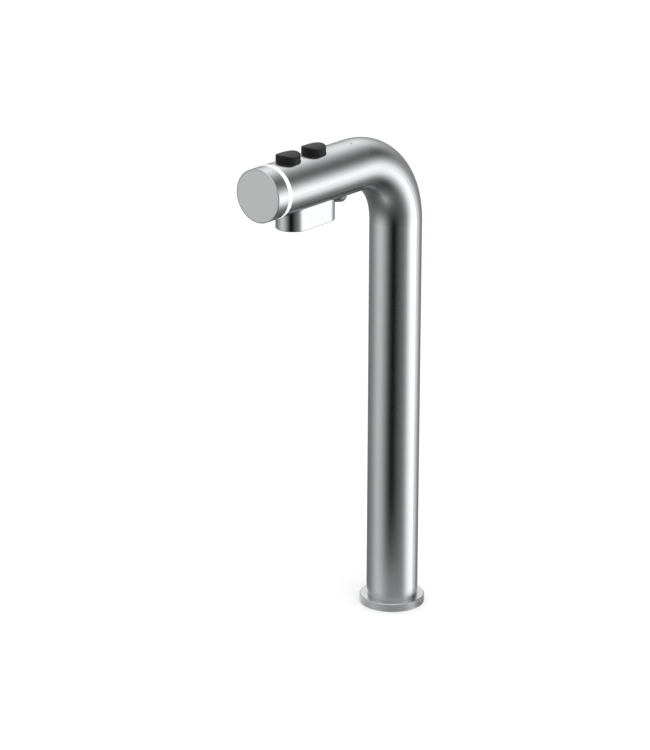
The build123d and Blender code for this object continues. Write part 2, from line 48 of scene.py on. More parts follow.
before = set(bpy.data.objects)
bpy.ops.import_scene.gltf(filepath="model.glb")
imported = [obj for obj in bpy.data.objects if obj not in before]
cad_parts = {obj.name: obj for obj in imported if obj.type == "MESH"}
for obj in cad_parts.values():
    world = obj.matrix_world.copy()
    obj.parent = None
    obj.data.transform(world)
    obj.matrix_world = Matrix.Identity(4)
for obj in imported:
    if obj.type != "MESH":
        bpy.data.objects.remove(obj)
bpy.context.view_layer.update()        # the imported CAD meshes now stand unparented in world space


# The tube in metres: the point that its bend turns about, its arm's axis and its radius.
BEND_Y = -0.0535
BEND_Z = 0.3115
ARM_Z = 0.365
TUBE_RADIUS = 0.02

# Lengths of the steel's marks in metres, and the angle from which an edge is shown sharp.
BRUSH_LENGTH = 0.03
TURNING_SPACING = 0.0002
SHARP_ANGLE = math.radians(35.0)


class Value:
    """One output of a shader node, which plain sums can use."""

    def __init__(self, shade, socket):
        self.shade = shade
        self.socket = socket

    def math(self, operation, *others):
        return self.shade.math(operation, self, *others)

    def __add__(self, other):
        return self.math("ADD", other)

    def __sub__(self, other):
        return self.math("SUBTRACT", other)

    def __mul__(self, other):
        return self.math("MULTIPLY", other)

    def __truediv__(self, other):
        return self.math("DIVIDE", other)

    def __rsub__(self, other):
        return self.shade.math("SUBTRACT", other, self)

    def __rtruediv__(self, other):
        return self.shade.math("DIVIDE", other, self)

    __radd__ = __add__
    __rmul__ = __mul__


class Shade:
    """A node tree being written: every node comes from its node method."""

    def __init__(self, tree):
        self.tree = tree
        tree.nodes.clear()

    def node(self, kind, settings=None, inputs=None, output=0):
        made = self.tree.nodes.new(kind)
        for name, setting in (settings or {}).items():
            if name == "stops":
                self.set_stops(made.color_ramp, setting)
            else:
                setattr(made, name, setting)
        for name, value in (inputs or {}).items():
            if isinstance(value, Value):
                self.tree.links.new(value.socket, made.inputs[name])
            else:
                made.inputs[name].default_value = value
        return Value(self, made.outputs[output]) if made.outputs else None

    def set_stops(self, ramp, stops):
        while len(ramp.elements) < len(stops):
            ramp.elements.new(1.0)
        for element, (place, grey) in zip(ramp.elements, stops):
            element.position = place
            element.color = (grey, grey, grey, 1.0)

    def math(self, operation, *values):
        return self.node("ShaderNodeMath", {"operation": operation}, dict(enumerate(values)))

    def vector(self, operation, *values, output="Vector"):
        return self.node("ShaderNodeVectorMath", {"operation": operation},
                         dict(enumerate(values)), output)

    def mix(self, factor, low, high):
        """A colour between low and high."""
        return self.node("ShaderNodeMix", {"data_type": "RGBA"},
                         {0: factor, 6: low, 7: high}, output=2)

    def mix_shader(self, factor, first, second):
        return self.node("ShaderNodeMixShader", None, {0: factor, 1: first, 2: second})

    def glow(self, level):
        """An even glow of this level."""
        return self.node("ShaderNodeEmission", None, {"Color": level, "Strength": 1.0})

    def place(self):
        """The point in the tap's own frame, in metres."""
        return self.node("ShaderNodeTexCoord", output="Object")

    def apart(self, vector):
        made = self.node("ShaderNodeSeparateXYZ", None, {0: vector})
        outputs = made.socket.node.outputs
        return [Value(self, outputs[axis]) for axis in "XYZ"]

    def together(self, x, y, z):
        return self.node("ShaderNodeCombineXYZ", None, {0: x, 1: y, 2: z})

    def noise(self, vector, scale=1.0, detail=2.0, roughness=0.5):
        return self.node("ShaderNodeTexNoise", None, {
            "Vector": vector, "Scale": scale, "Detail": detail, "Roughness": roughness})

    def ramp(self, factor, *stops):
        return self.node("ShaderNodeValToRGB", {"stops": stops}, {"Fac": factor})

    def bump(self, height, distance):
        return self.node("ShaderNodeBump", None, {
            "Height": height, "Distance": distance, "Strength": 1.0})


def opaque(colour):
    return (*colour, 1.0)


def tinted(shade, colour, factor, amount):
    """The colour, darker and lighter by the amount as the factor goes from 0 to 1."""
    low = opaque(c * (1 - amount) for c in colour)
    high = opaque(min(1.0, c * (1 + amount)) for c in colour)
    return shade.mix(factor, low, high)


def varied(level, *parts):
    """The level, moved up and down by each noise through its own amount."""
    for noise, amount in parts:
        level = (noise - 0.5) * amount + level
    return level


def new_material(name, skin):
    """A material whose Principled shader takes its sockets from what skin returns."""
    made = bpy.data.materials.new(name)
    made.use_nodes = True
    shade = Shade(made.node_tree)
    body = shade.node("ShaderNodeBsdfPrincipled", None, skin(shade))
    shade.node("ShaderNodeOutputMaterial", None, {"Surface": body})
    return made


def dress(material, *names):
    """Gives the material to the CAD nodes of these names."""
    for name in names:
        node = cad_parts[name]
        if not node.material_slots:
            node.data.materials.append(None)
        for slot in node.material_slots:
            slot.link = "OBJECT"
            slot.material = material


def linked(name, made):
    """An object in the scene from a closed bmesh, with its normals outward."""
    bmesh.ops.recalc_face_normals(made, faces=made.faces)
    for face in made.faces:
        face.smooth = True
    mesh = bpy.data.meshes.new(name)
    made.to_mesh(mesh)
    made.free()
    mesh.set_sharp_from_angle(angle=SHARP_ANGLE)
    piece = bpy.data.objects.new(name, mesh)
    bpy.context.scene.collection.objects.link(piece)
    return piece


def unit(azimuth, elevation):
    """The direction at an azimuth from -Y towards +X and an elevation, both in degrees."""
    a, e = math.radians(azimuth), math.radians(elevation)
    return (math.sin(a) * math.cos(e), -math.cos(a) * math.cos(e), math.sin(e))


def lobe(shade, way, azimuth, elevation, sharpness):
    """A soft spot that is 1 where the way points to that direction and fades round it."""
    facing = shade.vector("DOT_PRODUCT", way, unit(azimuth, elevation), output="Value")
    return ((facing - 1.0) * sharpness).math("EXPONENT")


def streaks(shade, spacing, length, around):
    """Fine brush marks: spacing apart across the tube, and length long along it or round it."""
    x, y, z = shade.apart(shade.place())
    if around:
        turn = shade.math("ARCTAN2", x, z - ARM_Z)
        marks = shade.together(turn * (TUBE_RADIUS / length), y / spacing, 0.0)
    else:
        past_y = (y - BEND_Y).math("MAXIMUM", 0.0)
        past_z = (z - BEND_Z).math("MAXIMUM", 0.0)
        out = (past_y * past_y + past_z * past_z).math("SQRT")
        marks = shade.together(x / spacing, out / spacing, (z - y) / length)
    return shade.noise(marks, scale=1.0, detail=3.0, roughness=0.6)


class WaterTapCamera(bpy.types.PropertyGroup):
    azimuth: FloatProperty(
        name="Azimuth", description="Camera's turn from the front towards the tap's right",
        default=math.radians(39.1078), subtype="ANGLE", unit="ROTATION")
    elevation: FloatProperty(
        name="Elevation", description="Camera's height over the horizon",
        default=math.radians(19.1552), subtype="ANGLE", unit="ROTATION")
    roll: FloatProperty(
        name="Roll", description="Camera's turn about its own axis",
        default=math.radians(0.1776), subtype="ANGLE", unit="ROTATION")
    distance: FloatProperty(
        name="Distance", description="From the camera to the point it looks at",
        default=2.528016, subtype="DISTANCE", unit="LENGTH")
    look_at: FloatVectorProperty(
        name="Looks at", description="Point in the middle of the picture",
        default=(-0.041965, -0.032448, 0.186222), subtype="XYZ", unit="LENGTH")
    lens: FloatProperty(
        name="Lens", description="Focal length in millimetres on a 36 mm sensor",
        default=157.93)


class WaterTapStudio(bpy.types.PropertyGroup):
    floor_radius: FloatProperty(
        name="Floor radius", description="Radius of the pale floor",
        default=4.0, subtype="DISTANCE", unit="LENGTH")
    floor_colour: FloatVectorProperty(
        name="Floor colour", description="Colour of the floor",
        default=(1.0, 1.0, 1.0), subtype="COLOR", min=0.0, max=1.0)
    floor_lift: FloatProperty(
        name="Floor lift", description="What brings the floor up to white in the picture",
        default=0.12, subtype="FACTOR", min=0.0, max=1.0)
    near_radius: FloatProperty(
        name="Near floor radius", description="How far out the foot mirrors the floor",
        default=0.27, subtype="DISTANCE", unit="LENGTH")
    near_glow: FloatProperty(
        name="Near floor glow", description="Level of the floor that the column mirrors",
        default=0.31, subtype="FACTOR", min=0.0, max=1.0)
    near_grey: FloatProperty(
        name="Rim grey", description="Level of the floor that the flange's rim mirrors",
        default=0.42, subtype="FACTOR", min=0.0, max=1.0)
    soft_level: FloatProperty(
        name="Soft light", description="Level of the even light on matt surfaces",
        default=0.92, subtype="FACTOR", min=0.0, max=2.0)
    lamp_power: FloatProperty(
        name="Lamp power", description="Power of the large lamp",
        default=3.0, subtype="POWER", unit="POWER")
    lamp_size: FloatProperty(
        name="Lamp size", description="Side of the large lamp",
        default=1.0, subtype="DISTANCE", unit="LENGTH")


class WaterTapSteel(bpy.types.PropertyGroup):
    colour: FloatVectorProperty(
        name="Steel colour", description="Colour of the stainless steel",
        default=(0.608, 0.619, 0.625), subtype="COLOR", min=0.0, max=1.0)
    roughness: FloatProperty(
        name="Roughness", description="How satin the tube is",
        default=0.157, subtype="FACTOR", min=0.0, max=1.0)
    spacing: FloatProperty(
        name="Brush spacing", description="Distance between two brush marks",
        default=0.00035, subtype="DISTANCE", unit="LENGTH")
    depth: FloatProperty(
        name="Brush depth", description="Depth of the brush marks",
        default=0.0000015, subtype="DISTANCE", unit="LENGTH")


class WaterTapCap(bpy.types.PropertyGroup):
    disc_colour: FloatVectorProperty(
        name="Disc colour", description="Colour of the matt front disc",
        default=(0.6, 0.605, 0.61), subtype="COLOR", min=0.0, max=1.0)
    disc_roughness: FloatProperty(
        name="Disc roughness", description="How matt the front disc is",
        default=0.55, subtype="FACTOR", min=0.0, max=1.0)
    glow: FloatProperty(
        name="Ring glow", description="Strength of the lit ring",
        default=0.5, min=0.0)
    glow_colour: FloatVectorProperty(
        name="Ring colour", description="Colour of the lit ring",
        default=(0.97, 0.99, 1.0), subtype="COLOR", min=0.0, max=1.0)


class WaterTapButtons(bpy.types.PropertyGroup):
    colour: FloatVectorProperty(
        name="Button colour", description="Colour of the two buttons",
        default=(0.012, 0.012, 0.013), subtype="COLOR", min=0.0, max=1.0)
    roughness: FloatProperty(
        name="Button roughness", description="How matt the buttons are",
        default=0.42, subtype="FACTOR", min=0.0, max=1.0)
    spring_wire: FloatProperty(
        name="Spring wire", description="Thickness of the return springs' wire",
        default=0.0006, subtype="DISTANCE", unit="LENGTH")
    spring_turns: IntProperty(
        name="Spring turns", description="Turns of each return spring, its flat ends included",
        default=5, min=3, max=12)


class WaterTapFixings(bpy.types.PropertyGroup):
    brass_colour: FloatVectorProperty(
        name="Brass colour", description="Colour of the brass shank and nut",
        default=(0.75, 0.57, 0.27), subtype="COLOR", min=0.0, max=1.0)
    rubber_colour: FloatVectorProperty(
        name="Rubber colour", description="Colour of the seals",
        default=(0.03, 0.03, 0.031), subtype="COLOR", min=0.0, max=1.0)
    shank_bore: FloatProperty(
        name="Shank bore", description="Bore through the threaded shank",
        default=0.027, subtype="DISTANCE", unit="LENGTH")
    thread_pitch: FloatProperty(
        name="Thread pitch", description="Rise of the shank's thread in one turn",
        default=0.0015, subtype="DISTANCE", unit="LENGTH")
    thread_depth: FloatProperty(
        name="Thread depth", description="Depth of the shank's thread",
        default=0.0008, subtype="DISTANCE", unit="LENGTH")


class WaterTapInsides(bpy.types.PropertyGroup):
    white_colour: FloatVectorProperty(
        name="White mouldings", description="Colour of the water blocks",
        default=(0.82, 0.82, 0.8), subtype="COLOR", min=0.0, max=1.0)
    grey_colour: FloatVectorProperty(
        name="Grey mouldings", description="Colour of the frame and collets",
        default=(0.28, 0.29, 0.3), subtype="COLOR", min=0.0, max=1.0)
    tube_colour: FloatVectorProperty(
        name="Water tubes", description="Colour of the two water tubes",
        default=(0.8, 0.82, 0.83), subtype="COLOR", min=0.0, max=1.0)
    board_colour: FloatVectorProperty(
        name="Boards", description="Colour of the circuit boards",
        default=(0.03, 0.17, 0.07), subtype="COLOR", min=0.0, max=1.0)


# The studio as steel shows it: azimuth, elevation, sharpness and strength of each soft light
# or dark card, over a level that rises with height and is nowhere darker than the last value.
STUDIO_LIGHTS = (
    ("soft box behind right", 134.3, -20.2, 10.40, 1.694),
    ("soft box right", 107.4, 0.1, 20.84, 1.640),
    ("high light behind left", -155.2, 37.8, 15.95, 0.673),
    ("front left light", -32.0, -3.1, 5.80, 0.663),
    ("high light left", -120.0, 28.2, 26.47, 1.700),
    ("light from under", 44.5, -85.5, 7.64, 0.236),
    ("overhead light", 34.2, 43.5, 3.70, 0.676),
    ("dark card above", 154.7, 24.6, 12.90, -0.383),
    ("dark card in front", 26.6, 5.0, 4.86, -0.525),
    ("dark card below", 137.8, -37.6, 14.41, -0.600),
)
STUDIO_BASE = 0.327
STUDIO_RISE = 0.300
STUDIO_DARKEST = 0.005

# The floor round the foot as steel shows it. A fade gives a level at each share of the near
# radius. A patch has an azimuth, a sharpness and a strength.
GLOW_FADE = (
    (0.0, 1.0), (0.2, 1.0), (0.3, 0.92), (0.47, 0.45), (0.65, 0.2), (0.83, 0.08), (1.0, 0.0))
RIM_FADE = ((0.0, 1.0), (0.15, 1.0), (0.18, 0.0))
CARD_FADE = ((0.0, 1.0), (0.125, 1.0), (0.145, 0.0))
FRONT_GLOW = (28.0, 4.2)
LIGHT_CARD = (-52.0, 15.0, 0.8)
DARK_CARD = (105.0, 20.0, 0.15)
RIM_COVER = 0.6
DARK_CARD_COVER = 0.4

LAMP_WAY = (75.0, 55.0)
LAMP_DISTANCE = 1.6
SENSOR_WIDTH = 36.0


class WATERTAP_OT_stage(bpy.types.Operator):
    """Sets the white studio, the floor, the lamp and the camera"""
    bl_idname = "watertap.stage"
    bl_label = "Stage"

    def execute(self, context):
        scene = context.scene
        scene.view_settings.view_transform = "Standard"
        self.make_world(scene)
        self.make_floor(scene)
        self.make_lamp(scene)
        self.make_camera(scene)
        return {"FINISHED"}

    def make_world(self, scene):
        world = bpy.data.worlds.new("studio")
        world.use_nodes = True
        world.cycles.sampling_method = "NONE"
        scene.world = world
        shade = Shade(world.node_tree)
        way = shade.vector("NORMALIZE", shade.node("ShaderNodeTexCoord", output="Generated"))
        level = shade.apart(way)[2] * STUDIO_RISE + STUDIO_BASE
        for _, azimuth, elevation, sharpness, strength in STUDIO_LIGHTS:
            level = level + lobe(shade, way, azimuth, elevation, sharpness) * strength
        level = level.math("MAXIMUM", STUDIO_DARKEST)
        path = shade.node("ShaderNodeLightPath").socket.node.outputs
        camera, glossy, through = (Value(shade, path[name]) for name in (
            "Is Camera Ray", "Is Glossy Ray", "Is Transmission Ray"))
        backdrop = glossy * (level - 1.0) + 1.0
        backdrop = shade.node("ShaderNodeBackground", None, {"Color": backdrop, "Strength": 1.0})
        soft = shade.node("ShaderNodeBackground", None, {
            "Color": (1.0, 1.0, 1.0, 1.0), "Strength": scene.watertap_studio.soft_level})
        seen = (camera + glossy + through).math("MINIMUM", 1.0)
        both = shade.mix_shader(seen, soft, backdrop)
        shade.node("ShaderNodeOutputWorld", None, {"Surface": both})

    def make_floor(self, scene):
        studio = scene.watertap_studio
        mesh = bpy.data.meshes.new("floor")
        disc = bmesh.new()
        bmesh.ops.create_circle(disc, cap_ends=True, segments=96, radius=studio.floor_radius)
        disc.to_mesh(mesh)
        disc.free()
        floor = bpy.data.objects.new("floor", mesh)
        scene.collection.objects.link(floor)
        made = bpy.data.materials.new("pale floor")
        made.use_nodes = True
        shade = Shade(made.node_tree)
        path = shade.node("ShaderNodeLightPath").socket.node.outputs
        camera, glossy = (Value(shade, path[name]) for name in ("Is Camera Ray", "Is Glossy Ray"))
        matt = shade.node("ShaderNodeBsdfDiffuse", None, {"Color": opaque(studio.floor_colour)})
        lift = shade.glow(camera * studio.floor_lift)
        pale = shade.node("ShaderNodeAddShader", None, {0: matt, 1: lift})
        clear = shade.node("ShaderNodeBsdfTransparent")
        top = shade.mix_shader(glossy, pale, self.mirrored_floor(shade, studio, clear))
        below = shade.node("ShaderNodeNewGeometry", output="Backfacing")
        both = shade.mix_shader(below, top, clear)
        shade.node("ShaderNodeOutputMaterial", None, {"Surface": both})
        mesh.materials.append(made)

    def mirrored_floor(self, shade, studio, clear):
        """What glossy rays meet: a soft glow further out, and a grey rim close to the flange."""
        place = shade.place()
        x, y, _ = shade.apart(place)
        away = (x * x + y * y).math("SQRT") / studio.near_radius
        way = shade.vector("NORMALIZE", place)

        def patch(fade, azimuth, sharpness):
            return shade.ramp(away, *fade) * lobe(shade, way, azimuth, 0.0, sharpness)

        glow = shade.glow(patch(GLOW_FADE, *FRONT_GLOW) * studio.near_glow)
        outer = shade.node("ShaderNodeAddShader", None, {0: clear, 1: glow})
        light_card = patch(CARD_FADE, *LIGHT_CARD[:2])
        dark_card = patch(CARD_FADE, *DARK_CARD[:2])
        rim = shade.glow(light_card * LIGHT_CARD[2] - dark_card * DARK_CARD[2] + studio.near_grey)
        cover = shade.ramp(away, *RIM_FADE) * (dark_card * DARK_CARD_COVER + RIM_COVER)
        return shade.mix_shader(cover, outer, rim)

    def make_lamp(self, scene):
        studio = scene.watertap_studio
        data = bpy.data.lights.new("large lamp", "AREA")
        data.shape = "SQUARE"
        data.size = studio.lamp_size
        data.energy = studio.lamp_power
        lamp = bpy.data.objects.new("large lamp", data)
        scene.collection.objects.link(lamp)
        away = Vector(unit(*LAMP_WAY))
        lamp.location = away * LAMP_DISTANCE
        lamp.rotation_mode = "QUATERNION"
        lamp.rotation_quaternion = away.to_track_quat("Z", "Y")
        lamp.visible_glossy = False
        lamp.visible_camera = False

    def make_camera(self, scene):
        seen = scene.watertap_camera
        a, e, r = seen.azimuth, seen.elevation, seen.roll
        right = Vector((math.cos(a), math.sin(a), 0.0))
        back = Vector((math.sin(a) * math.cos(e), -math.cos(a) * math.cos(e), math.sin(e)))
        up = back.cross(right)
        rolled_right = right * math.cos(r) + up * math.sin(r)
        rolled_up = up * math.cos(r) - right * math.sin(r)
        turn = Matrix((rolled_right, rolled_up, back)).transposed().to_4x4()
        data = bpy.data.cameras.new("camera")
        data.sensor_fit = "AUTO"
        data.sensor_width = SENSOR_WIDTH
        data.lens = seen.lens
        data.clip_end = 50.0
        camera = bpy.data.objects.new("camera", data)
        scene.collection.objects.link(camera)
        camera.matrix_world = Matrix.Translation(Vector(seen.look_at) + back * seen.distance) @ turn
        scene.camera = camera


def steel_skin(steel, roughness, around=False):
    """Satin steel with fine marks along the tube, or round it."""
    def skin(shade):
        marks = streaks(shade, steel.spacing, BRUSH_LENGTH, around)
        wide = shade.noise(shade.place(), scale=60.0, detail=3.0, roughness=0.6)
        return {
            "Base Color": tinted(shade, steel.colour, wide, amount=0.03),
            "Metallic": 1.0,
            "Roughness": varied(roughness, (marks, 0.10), (wide, 0.04)),
            "Normal": shade.bump(marks, steel.depth),
        }
    return skin


class WATERTAP_OT_tube(bpy.types.Operator):
    """Finishes the bent tube in satin steel"""
    bl_idname = "watertap.tube"
    bl_label = "Tube"

    def execute(self, context):
        steel = context.scene.watertap_steel
        dress(new_material("satin tube steel", steel_skin(steel, steel.roughness)), "tube_body")
        return {"FINISHED"}


class WATERTAP_OT_flange(bpy.types.Operator):
    """Finishes the base flange in turned steel"""
    bl_idname = "watertap.flange"
    bl_label = "Base flange"

    def execute(self, context):
        steel = context.scene.watertap_steel

        def skin(shade):
            x, y, z = shade.apart(shade.place())
            out = (x * x + y * y).math("SQRT")
            turn = shade.math("ARCTAN2", x, y)
            over = shade.together(out / TURNING_SPACING, z / TURNING_SPACING, turn * 1.5)
            marks = shade.noise(over, scale=1.0, detail=2.0)
            wide = shade.noise(shade.place(), scale=80.0, detail=3.0)
            return {
                "Base Color": tinted(shade, steel.colour, wide, amount=0.03),
                "Metallic": 1.0,
                "Roughness": varied(0.26, (marks, 0.12)),
                "Normal": shade.bump(marks, steel.depth),
            }
        dress(new_material("turned flange steel", skin), "base_flange")
        return {"FINISHED"}


class WATERTAP_OT_cap(bpy.types.Operator):
    """Finishes the brushed band and the matt front disc"""
    bl_idname = "watertap.cap"
    bl_label = "Cap"

    def execute(self, context):
        steel = context.scene.watertap_steel
        cap = context.scene.watertap_cap
        band = steel_skin(steel, roughness=0.15, around=True)
        dress(new_material("brushed band steel", band), "cap_sleeve")

        def skin(shade):
            grit = shade.noise(shade.place(), scale=4200.0, detail=2.0, roughness=0.7)
            cloud = shade.noise(shade.place(), scale=90.0, detail=2.0)
            return {
                "Base Color": tinted(shade, cap.disc_colour, cloud, amount=0.02),
                "Metallic": 0.5,
                "Roughness": varied(cap.disc_roughness, (grit, 0.10)),
                "Normal": shade.bump(grit, distance=0.000006),
            }
        dress(new_material("blasted disc", skin), "face_disc")
        return {"FINISHED"}


class WATERTAP_OT_light_ring(bpy.types.Operator):
    """Lights the white ring and its clear carrier"""
    bl_idname = "watertap.light_ring"
    bl_label = "Light ring"

    def execute(self, context):
        cap = context.scene.watertap_cap

        def ring(shade):
            milk = shade.noise(shade.place(), scale=500.0, detail=2.0)
            return {
                "Base Color": tinted(shade, (0.48, 0.485, 0.485), milk, amount=0.02),
                "Roughness": varied(0.35, (milk, 0.08)),
                "Emission Color": tinted(shade, cap.glow_colour, milk, amount=0.01),
                "Emission Strength": cap.glow,
            }
        dress(new_material("lit ring", ring), "light_ring")

        def carrier(shade):
            flow = shade.noise(shade.place(), scale=180.0, detail=2.0)
            return {
                "Base Color": tinted(shade, (0.86, 0.88, 0.89), flow, amount=0.03),
                "Roughness": varied(0.12, (flow, 0.06)),
                "Transmission Weight": 0.85,
                "IOR": 1.49,
            }
        dress(new_material("clear carrier", carrier), "ring_carrier")
        return {"FINISHED"}


class WATERTAP_OT_buttons(bpy.types.Operator):
    """Finishes the two press buttons in satin black plastic"""
    bl_idname = "watertap.buttons"
    bl_label = "Buttons"

    def execute(self, context):
        buttons = context.scene.watertap_buttons

        def skin(shade):
            grain = shade.noise(shade.place(), scale=3000.0, detail=3.0, roughness=0.6)
            cloud = shade.noise(shade.place(), scale=160.0, detail=2.0)
            return {
                "Base Color": tinted(shade, buttons.colour, cloud, amount=0.12),
                "Roughness": varied(buttons.roughness, (grain, 0.12), (cloud, 0.06)),
                "Specular IOR Level": 0.16,
                "Normal": shade.bump(grain, distance=0.000008),
            }
        dress(new_material("satin black plastic", skin), "front_button", "rear_button")
        return {"FINISHED"}


class WATERTAP_OT_springs(bpy.types.Operator):
    """Winds the two return springs in place of the CAD springs"""
    bl_idname = "watertap.springs"
    bl_label = "Return springs"

    def execute(self, context):
        buttons = context.scene.watertap_buttons
        steel = plain_steel("spring steel")
        for button in ("front_button", "rear_button"):
            low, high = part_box(button + "_spring")
            wire, turns = buttons.spring_wire, buttons.spring_turns
            spring = self.wind(button + "_return_spring", low, high, wire, turns)
            spring.data.materials.append(steel)
            axis_y = (low.y + high.y) / 2
            foot, head = (0.0, axis_y, low.z + wire), (0.0, axis_y, high.z - wire)
            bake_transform(spring)
            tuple(foot)
            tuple(head)
            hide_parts(button + "_spring")
        return {"FINISHED"}

    def wind(self, name, low, high, wire, turns):
        """A round wire spring whose first and last turns lie flat, just clear of the next."""
        around, to_turn, nearby, flat_pitch = 12, 48, 0.02, 1.05
        half = wire / 2
        coil = high.x - half
        axis_y = (low.y + high.y) / 2
        end_rise = wire * flat_pitch
        middle_rise = (high.z - low.z - wire - 2 * end_rise) / (turns - 2)

        def rise(turn):
            ends = min(turn, 1.0) + max(0.0, turn - (turns - 1))
            return ends * end_rise + min(max(turn - 1.0, 0.0), turns - 2) * middle_rise

        made = bmesh.new()
        rings = []
        for step in range(turns * to_turn + 1):
            turn = step / to_turn
            a = math.tau * turn
            out = Vector((math.cos(a), math.sin(a), 0.0))
            climb = rise(min(turn + nearby, turns)) - rise(max(turn - nearby, 0.0))
            slope = climb / (2 * nearby * math.tau * coil)
            up = Vector((slope * math.sin(a), -slope * math.cos(a), 1.0)).normalized()
            centre = Vector((0.0, axis_y, low.z + half + rise(turn))) + out * coil
            rings.append([made.verts.new(centre + (out * math.cos(b) + up * math.sin(b)) * half)
                          for b in (math.tau * i / around for i in range(around))])
        for a, b in zip(rings, rings[1:]):
            for i in range(around):
                j = (i + 1) % around
                made.faces.new((a[i], a[j], b[j], b[i]))
        made.faces.new(rings[0][::-1])
        made.faces.new(rings[-1])
        return linked(name, made)


class WATERTAP_OT_nozzle(bpy.types.Operator):
    """Polishes the outlet housing and finishes its plate, screw and outlets"""
    bl_idname = "watertap.nozzle"
    bl_label = "Nozzle"

    def execute(self, context):
        steel = context.scene.watertap_steel
        insides = context.scene.watertap_insides

        def polished(shade):
            haze = shade.noise(shade.place(), scale=220.0, detail=4.0, roughness=0.6)
            return {
                "Base Color": tinted(shade, steel.colour, haze, amount=0.02),
                "Metallic": 1.0,
                "Roughness": varied(0.09, (haze, 0.05)),
                "Normal": shade.bump(haze, distance=0.000002),
            }
        dress(new_material("polished nozzle steel", polished), "nozzle_housing")
        dress(moulded("nozzle plate plastic", insides.grey_colour, roughness=0.4), "nozzle_plate")
        dress(moulded("outlet plastic", (0.1, 0.1, 0.105), roughness=0.38),
              "front_outlet", "rear_outlet")
        dress(plain_steel("nozzle screw steel"), "nozzle_screw")
        return {"FINISHED"}


class WATERTAP_OT_clamp(bpy.types.Operator):
    """Finishes the clamp screw behind the nozzle and its saddle washer"""
    bl_idname = "watertap.clamp"
    bl_label = "Clamp screw"

    def execute(self, context):
        # The dark grey colour is painted shade: the screw sits under the arm, and its steel is
        # darkened to stand in for that shade.
        shade_darkened = plain_steel("burnished clamp steel", colour=(0.24, 0.24, 0.243), roughness=0.5)
        dress(shade_darkened, "clamp_screw", "saddle_washer")
        return {"FINISHED"}


class WATERTAP_OT_fixings(bpy.types.Operator):
    """Finishes the brass, steel and rubber that clamp the tap to the worktop"""
    bl_idname = "watertap.fixings"
    bl_label = "Worktop fixings"

    def execute(self, context):
        fixings = context.scene.watertap_fixings

        def brass(shade):
            patina = shade.noise(shade.place(), scale=120.0, detail=4.0, roughness=0.6)
            tool = shade.noise(shade.place(), scale=1500.0, detail=2.0)
            return {
                "Base Color": tinted(shade, fixings.brass_colour, patina, amount=0.14),
                "Metallic": 1.0,
                "Roughness": varied(0.3, (patina, 0.18)),
                "Normal": shade.bump(tool, distance=0.000006),
            }
        machined = new_material("machined brass", brass)
        dress(machined, "base_adapter", "lock_nut")
        shank = self.make_thread(fixings)
        shank.data.materials.append(machined)
        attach(shank, "root")
        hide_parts("threaded_shank")

        def rubber(shade):
            bloom = shade.noise(shade.place(), scale=260.0, detail=4.0, roughness=0.7)
            return {
                "Base Color": tinted(shade, fixings.rubber_colour, bloom, amount=0.3),
                "Roughness": varied(0.72, (bloom, 0.2)),
                "Normal": shade.bump(bloom, distance=0.00003),
            }
        dress(new_material("seal rubber", rubber),
              "base_seal", "rubber_washer", "tube_seals", "outlet_seals")
        dress(plain_steel("washer steel"), "steel_washer", "flange_grub_screw")
        return {"FINISHED"}

    def make_thread(self, fixings):
        """The hollow shank with its helical thread, which runs out at both ends."""
        low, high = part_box("threaded_shank")
        radius, bore = high.x, fixings.shank_bore / 2
        foot, top = low.z, high.z
        around, to_turn, half_groove = 72, 8, 0.42
        pitch, depth = fixings.thread_pitch, fixings.thread_depth
        rows = round((top - foot) / pitch * to_turn)
        made = bmesh.new()

        def ring(z, reach):
            corners = ((reach(i), math.tau * i / around) for i in range(around))
            return [made.verts.new((r * math.sin(a), -r * math.cos(a), z)) for r, a in corners]

        def crest(z):
            run_out = min(1.0, (z - foot) / pitch, (top - z) / pitch)
            chamfer = max(0.0, 1.0 - (z - foot) / depth) * depth

            def reach(i):
                phase = (z / pitch - i / around) % 1.0
                groove = max(0.0, 1.0 - abs(phase - 0.5) / half_groove)
                return radius - chamfer - depth * groove * run_out
            return reach

        outer = [foot + (top - foot) * k / rows for k in range(rows + 1)]
        rings = [ring(z, crest(z)) for z in outer]
        rings += [ring(z, lambda i: bore) for z in (top, foot)]
        rings.append(rings[0])
        for a, b in zip(rings, rings[1:]):
            for i in range(around):
                j = (i + 1) % around
                made.faces.new((a[i], a[j], b[j], b[i]))
        return linked("shank_thread", made)


class WATERTAP_OT_supply(bpy.types.Operator):
    """Finishes the inlet block, the water tubes and the supply socket"""
    bl_idname = "watertap.supply"
    bl_label = "Inlets and tubes"

    def execute(self, context):
        insides = context.scene.watertap_insides
        dress(moulded("white water block", insides.white_colour, roughness=0.42),
              "inlet_block", "outlet_block")
        dress(moulded("grey collets", insides.grey_colour, roughness=0.45),
              "inlet_collets", "outlet_collets", "hose_spacers")
        dress(moulded("black socket", (0.035, 0.035, 0.036), roughness=0.45), "supply_socket")

        def water_tube(shade):
            milk = shade.noise(shade.place(), scale=140.0, detail=3.0)
            return {
                "Base Color": tinted(shade, insides.tube_colour, milk, amount=0.05),
                "Roughness": varied(0.38, (milk, 0.1)),
                "Subsurface Weight": 0.3,
                "Subsurface Radius": (0.002, 0.002, 0.002),
                "Normal": shade.bump(milk, distance=0.00002),
            }
        dress(new_material("translucent water tube", water_tube),
              "still_water_tube", "sparkling_water_tube")
        dress(moulded("cable jacket", (0.045, 0.045, 0.047), roughness=0.6),
              "control_cable", "board_lead")

        def pin(shade):
            tarnish = shade.noise(shade.place(), scale=700.0, detail=3.0)
            return {
                "Base Color": tinted(shade, (0.85, 0.68, 0.34), tarnish, amount=0.1),
                "Metallic": 1.0,
                "Roughness": varied(0.22, (tarnish, 0.1)),
            }
        dress(new_material("plated pins", pin), "supply_pins")
        return {"FINISHED"}


